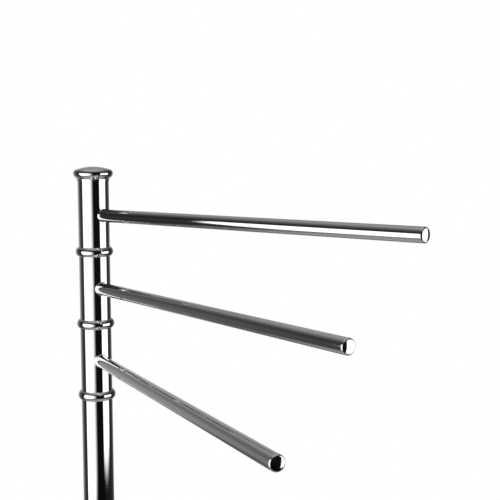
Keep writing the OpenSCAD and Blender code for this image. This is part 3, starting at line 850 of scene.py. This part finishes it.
def card(name, near, far, near_z, far_z, strength, soft):
    """A glowing panel that the chrome mirrors and the camera doesn't see, from near to far, each with
    its lowest and highest z. soft is the share that fades out at the near, far, low and high edge."""
    steps, verts, faces = 24, [], []
    for j in range(steps + 1):
        for i in range(steps + 1):
            u, v = i / steps, j / steps
            bottom = near_z[0] + (far_z[0] - near_z[0]) * u
            top = near_z[1] + (far_z[1] - near_z[1]) * u
            verts.append((near[0] + (far[0] - near[0]) * u, near[1] + (far[1] - near[1]) * u,
                          bottom + (top - bottom) * v))
    row = steps + 1
    for j in range(steps):
        for i in range(steps):
            faces.append((j * row + i, j * row + i + 1, (j + 1) * row + i + 1, (j + 1) * row + i))
    panel = new_piece(name, verts, faces)
    across = panel.data.uv_layers.new(name="across")
    for loop in panel.data.loops:
        j, i = divmod(loop.vertex_index, row)
        across.data[loop.index].uv = (i / steps, j / steps)
    glow, tree = new_finish(name + "_glow")
    apart = add(tree, "ShaderNodeSeparateXYZ", {0: add(tree, "ShaderNodeTexCoord").outputs["UV"]})
    level = strength
    for axis, start, width in zip("XXYY", (0, 1, 0, 1), soft):
        rise = add(tree, "ShaderNodeMapRange",
                   {"Value": apart.outputs[axis], "From Min": start, "From Max": abs(start - width),
                    "To Min": 0.0, "To Max": 1.0}, interpolation_type="SMOOTHSTEP")
        level = add(tree, "ShaderNodeMath", {0: level, 1: rise.outputs[0]},
                    operation="MULTIPLY").outputs[0]
    light = add(tree, "ShaderNodeEmission", {"Color": WHITE, "Strength": level})
    add(tree, "ShaderNodeOutputMaterial", {"Surface": light.outputs[0]})
    panel.data.materials.append(glow)
    panel.visible_camera = False
    panel.visible_shadow = False
    panel.visible_diffuse = False
    return panel


card("panel_left", (-0.39, -0.756), (-0.6, 0.27), (0.24, 0.96), (0.2, 1.0),
     1.6, (0.5, 0.05, 0.16, 0.05))
card("panel_right", (0.3, -1.03), (2.9, -1.03), (0.2, 1.08), (-0.37, 1.39),
     1.6, (0.023, 0.09, 0.1, 0.04))

key = bpy.data.lights.new("soft_top_light", "AREA")
key.shape, key.size, key.energy = "DISK", 1.6, 32.0
key_light = bpy.data.objects.new("soft_top_light", key)
key_light.location = (0.4, -0.9, 2.6)
aim = Vector((0, 0, 0.3)) - key_light.location
key_light.rotation_euler = aim.to_track_quat("-Z", "Y").to_euler()
key_light.visible_glossy = False
bpy.context.scene.collection.objects.link(key_light)

# The surroundings are white to the camera and an even fill to matt surfaces. The chrome mirrors a dark
# room with a pale wall behind the rack and a paler ceiling.
world = bpy.data.worlds.new("studio_surroundings")
bpy.context.scene.world = world
world.use_nodes = True
tree = world.node_tree
tree.nodes.clear()
way = add(tree, "ShaderNodeTexCoord").outputs["Generated"]
apart = add(tree, "ShaderNodeSeparateXYZ", {0: way})
level_way = add(tree, "ShaderNodeVectorMath", {0: way, 1: (1, 1, 0)}, operation="MULTIPLY")
level_way = add(tree, "ShaderNodeVectorMath", {0: level_way.outputs[0]}, operation="NORMALIZE")
back = math.radians(71.6)  # the middle of the pale wall
facing = add(tree, "ShaderNodeVectorMath",
             {0: level_way.outputs[0], 1: (math.cos(back), math.sin(back), 0)}, operation="DOT_PRODUCT")
share = add(tree, "ShaderNodeMapRange",
            {"Value": facing.outputs["Value"], "From Min": -1.0, "From Max": 1.0})
height = add(tree, "ShaderNodeMapRange",
             {"Value": apart.outputs["Z"], "From Min": -1.0, "From Max": 1.0})
sweep = add(tree, "ShaderNodeValToRGB", {"Fac": share.outputs["Result"]}, [
    (0.0, 0.006), (0.3, 0.01), (0.5, 0.028), (0.74, 0.05), (0.84, 0.15), (0.93, 0.38), (0.99, 0.8)])
fall = add(tree, "ShaderNodeValToRGB", {"Fac": height.outputs["Result"]}, [
    (0.3, 0.55), (0.45, 0.95), (0.55, 0.7), (0.64, 0.45), (0.75, 0.36), (0.85, 0.28), (1.0, 0.05)])
ceiling = add(tree, "ShaderNodeValToRGB", {"Fac": height.outputs["Result"]}, [
    (0.68, 0.0), (0.77, 0.03), (0.84, 0.08), (0.9, 0.18), (0.96, 0.42)])
wall = add(tree, "ShaderNodeMix", {0: 1.0, 6: sweep.outputs["Color"], 7: fall.outputs["Color"]},
           data_type="RGBA", blend_type="MULTIPLY")
room = add(tree, "ShaderNodeMix", {0: 1.0, 6: wall.outputs[2], 7: ceiling.outputs["Color"]},
           data_type="RGBA", blend_type="ADD")
path = add(tree, "ShaderNodeLightPath")
mirrored = add(tree, "ShaderNodeBackground", {"Color": room.outputs[2], "Strength": 1.0})
fill = add(tree, "ShaderNodeBackground", {"Color": WHITE, "Strength": 0.45})
seen = add(tree, "ShaderNodeBackground", {"Color": WHITE, "Strength": 1.0})
lit = add(tree, "ShaderNodeMixShader",
          {0: path.outputs["Is Diffuse Ray"], 1: mirrored.outputs[0], 2: fill.outputs[0]})
both = add(tree, "ShaderNodeMixShader",
           {0: path.outputs["Is Camera Ray"], 1: lit.outputs[0], 2: seen.outputs[0]})
add(tree, "ShaderNodeOutputWorld", {"Surface": both.outputs[0]})

# The floor is open under the base, inside the edge of the cover, and clear from beneath, so that the
# underside can be looked at. It fades out to white. The chrome mirrors it only near by, and with painted
# shade: for glossy rays its colour is darkened away from the stand.
FLOOR_IN, FLOOR_OUT, FLOOR_SIDES = 0.112, 6.0, 120
rims = []
for r in (FLOOR_IN, FLOOR_OUT):
    for k in range(FLOOR_SIDES):
        a = 2 * math.pi * k / FLOOR_SIDES
        rims.append((r * math.cos(a), r * math.sin(a), 0))
floor = new_piece("floor", rims, [
    (k, FLOOR_SIDES + k, FLOOR_SIDES + (k + 1) % FLOOR_SIDES, (k + 1) % FLOOR_SIDES)
    for k in range(FLOOR_SIDES)])
matt, tree = new_finish("floor_matt_pale")
place = add(tree, "ShaderNodeTexCoord").outputs["Object"]
paper = add(tree, "ShaderNodeTexNoise", {"Vector": place, "Scale": 60.0, "Detail": 3.0})
pale = add(tree, "ShaderNodeMix", {0: paper.outputs["Fac"], 6: linear("#F2F2F1"), 7: linear("#F7F7F6")},
           data_type="RGBA")
away = add(tree, "ShaderNodeVectorMath", {0: place}, operation="LENGTH")
# painted shade: the floor colour that the chrome mirrors is darkened with distance from the stand
painted_shade_by_distance = add(tree, "ShaderNodeValToRGB", {"Fac": away.outputs["Value"]}, [
    (0.15, 0.55), (0.45, 0.5), (0.7, 0.2), (0.95, 0.05)])
painted_shade_colour = add(tree, "ShaderNodeMix", {0: 1.0, 6: pale.outputs[2], 7: painted_shade_by_distance.outputs["Color"]},
             data_type="RGBA", blend_type="MULTIPLY")
path = add(tree, "ShaderNodeLightPath")
shown = add(tree, "ShaderNodeMix",
            {0: path.outputs["Is Glossy Ray"], 6: pale.outputs[2], 7: painted_shade_colour.outputs[2]},
            data_type="RGBA")
matt_paper = add(tree, "ShaderNodeBsdfPrincipled", {"Base Color": shown.outputs[2], "Roughness": 0.9})
white = add(tree, "ShaderNodeEmission", {"Color": WHITE, "Strength": 1.0})
edge = add(tree, "ShaderNodeMapRange",
           {"Value": away.outputs["Value"], "From Min": 0.35, "From Max": 1.3},
           interpolation_type="SMOOTHSTEP")
fading = add(tree, "ShaderNodeMath", {0: edge.outputs[0], 1: path.outputs["Is Camera Ray"]},
             operation="MULTIPLY")
swept = add(tree, "ShaderNodeMixShader",
            {0: fading.outputs[0], 1: matt_paper.outputs[0], 2: white.outputs[0]})
clear = add(tree, "ShaderNodeBsdfTransparent")
far_off = add(tree, "ShaderNodeMapRange",
              {"Value": away.outputs["Value"], "From Min": 0.8, "From Max": 1.3})
mirrored_far = add(tree, "ShaderNodeMath", {0: far_off.outputs[0], 1: path.outputs["Is Glossy Ray"]},
                   operation="MULTIPLY")
back_side = add(tree, "ShaderNodeNewGeometry").outputs["Backfacing"]
open_to = add(tree, "ShaderNodeMath", {0: mirrored_far.outputs[0], 1: back_side}, operation="MAXIMUM")
one_sided = add(tree, "ShaderNodeMixShader",
                {0: open_to.outputs[0], 1: swept.outputs[0], 2: clear.outputs[0]})
add(tree, "ShaderNodeOutputMaterial", {"Surface": one_sided.outputs[0]})
floor.data.materials.append(matt)

# ---- camera ----
eye = bpy.data.cameras.new("camera")
eye.lens, eye.sensor_width = 71.16, 36.0
camera = bpy.data.objects.new("camera", eye)
bpy.context.scene.collection.objects.link(camera)
heading, pitch, roll = math.radians(54.57), math.radians(5.5), math.radians(-0.21)
ahead = Vector((math.cos(heading) * math.cos(pitch), math.sin(heading) * math.cos(pitch),
                -math.sin(pitch)))
right = Vector((math.sin(heading), -math.cos(heading), 0))
up = right.cross(ahead)
tilted = right * math.cos(roll) + up * math.sin(roll)
upright = up * math.cos(roll) - right * math.sin(roll)
camera.matrix_world = Matrix.Translation((-0.45898, -0.92291, 0.88135)) @ Matrix(
    (tilted, upright, -ahead)).transposed().to_4x4()
bpy.context.scene.camera = camera
bpy.context.scene.view_settings.view_transform = "Standard"
